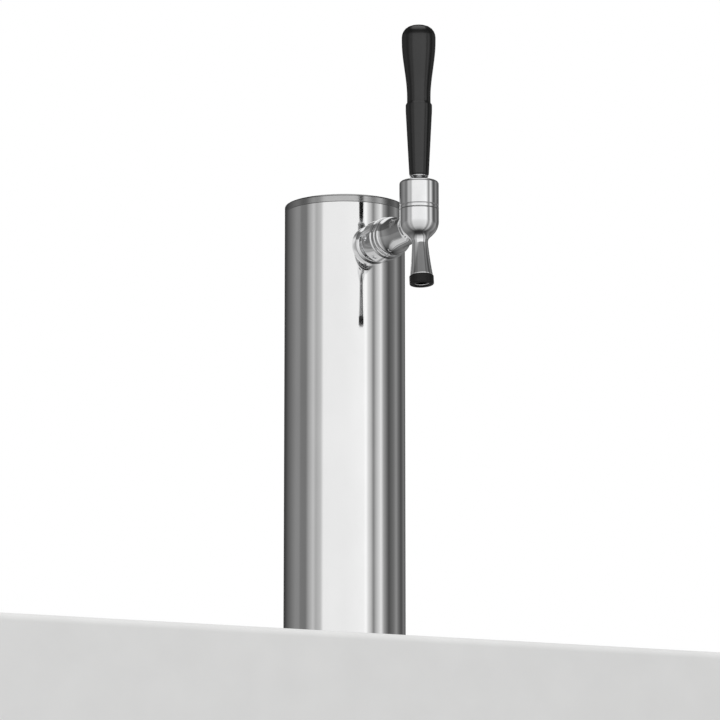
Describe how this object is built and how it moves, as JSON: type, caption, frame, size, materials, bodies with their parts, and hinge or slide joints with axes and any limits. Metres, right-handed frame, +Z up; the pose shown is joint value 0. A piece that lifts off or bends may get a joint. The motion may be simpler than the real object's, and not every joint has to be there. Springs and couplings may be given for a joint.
{
  "type": "beer tap tower",
  "caption": "Round polished steel beer tap tower with a single lever faucet, black handle and flanged base.",
  "frame": {"origin": "centre of the column on the underside of the base gasket, where it rests on the worktop", "axes": "+Z up the column, -Y towards the side the faucet pours on, +X to the right seen from that side"},
  "size_m": [0.13, 0.21, 0.4783],
  "materials": {
    "column_steel": "mirror polished",
    "cap_steel": "satin",
    "chrome_plate": "polished",
    "screw_steel": "machined",
    "brass_parts": "machined",
    "black_plastic": "satin moulded",
    "handle_black": "satin moulded",
    "black_rubber": "matte",
    "nylon": "moulded",
    "foam_sleeve": "closed-cell foam"
  },
  "bodies": {
    "tower": {"base_gasket": "black_rubber", "base_flange": "chrome_plate", "column_screws": "screw_steel", "column_tube": "column_steel", "insulation_sleeve": "foam_sleeve", "shank_collar": "chrome_plate", "inner_saddle": "black_plastic", "shank_lock_nut": "chrome_plate", "shank": "chrome_plate", "coupling_nut": "chrome_plate", "index_ring": "brass_parts", "coupling_washer": "black_rubber", "tailpiece_washer": "black_rubber", "tailpiece": "brass_parts", "tailpiece_nut": "chrome_plate", "faucet_body": "chrome_plate", "spout_tip": "black_plastic", "ball_washer": "nylon", "friction_washer": "nylon", "bonnet": "chrome_plate"},
    "cap": {"column_cap": "cap_steel", "cap_seal_ring": "black_rubber"},
    "lever_body": {"lever": "screw_steel", "lever_collar": "chrome_plate", "handle_insert": "brass_parts", "tap_handle": "handle_black"},
    "valve": {"valve_shaft": "brass_parts", "seat_washer": "black_rubber", "shaft_washer": "screw_steel", "shaft_nut": "brass_parts"}
  },
  "joints": [
    {"name": "cap_lift", "type": "slide", "parent": "tower", "child": "cap", "axis": [0, 0, 1], "range_m": [0, 0.03]},
    {"name": "lever_tilt", "type": "hinge", "parent": "tower", "child": "lever_body", "pos_m": [0, -0.13, 0.344], "axis": [1, 0, 0], "range_deg": [0, 20]},
    {"name": "valve_slide", "type": "slide", "parent": "tower", "child": "valve", "axis": [0, 1, 0], "range_m": [0, 0.0078]}
  ],
  "couplings": [
    {"joint": "valve_slide", "follows": "lever_tilt", "m_per_rad": 0.022}
  ]
}
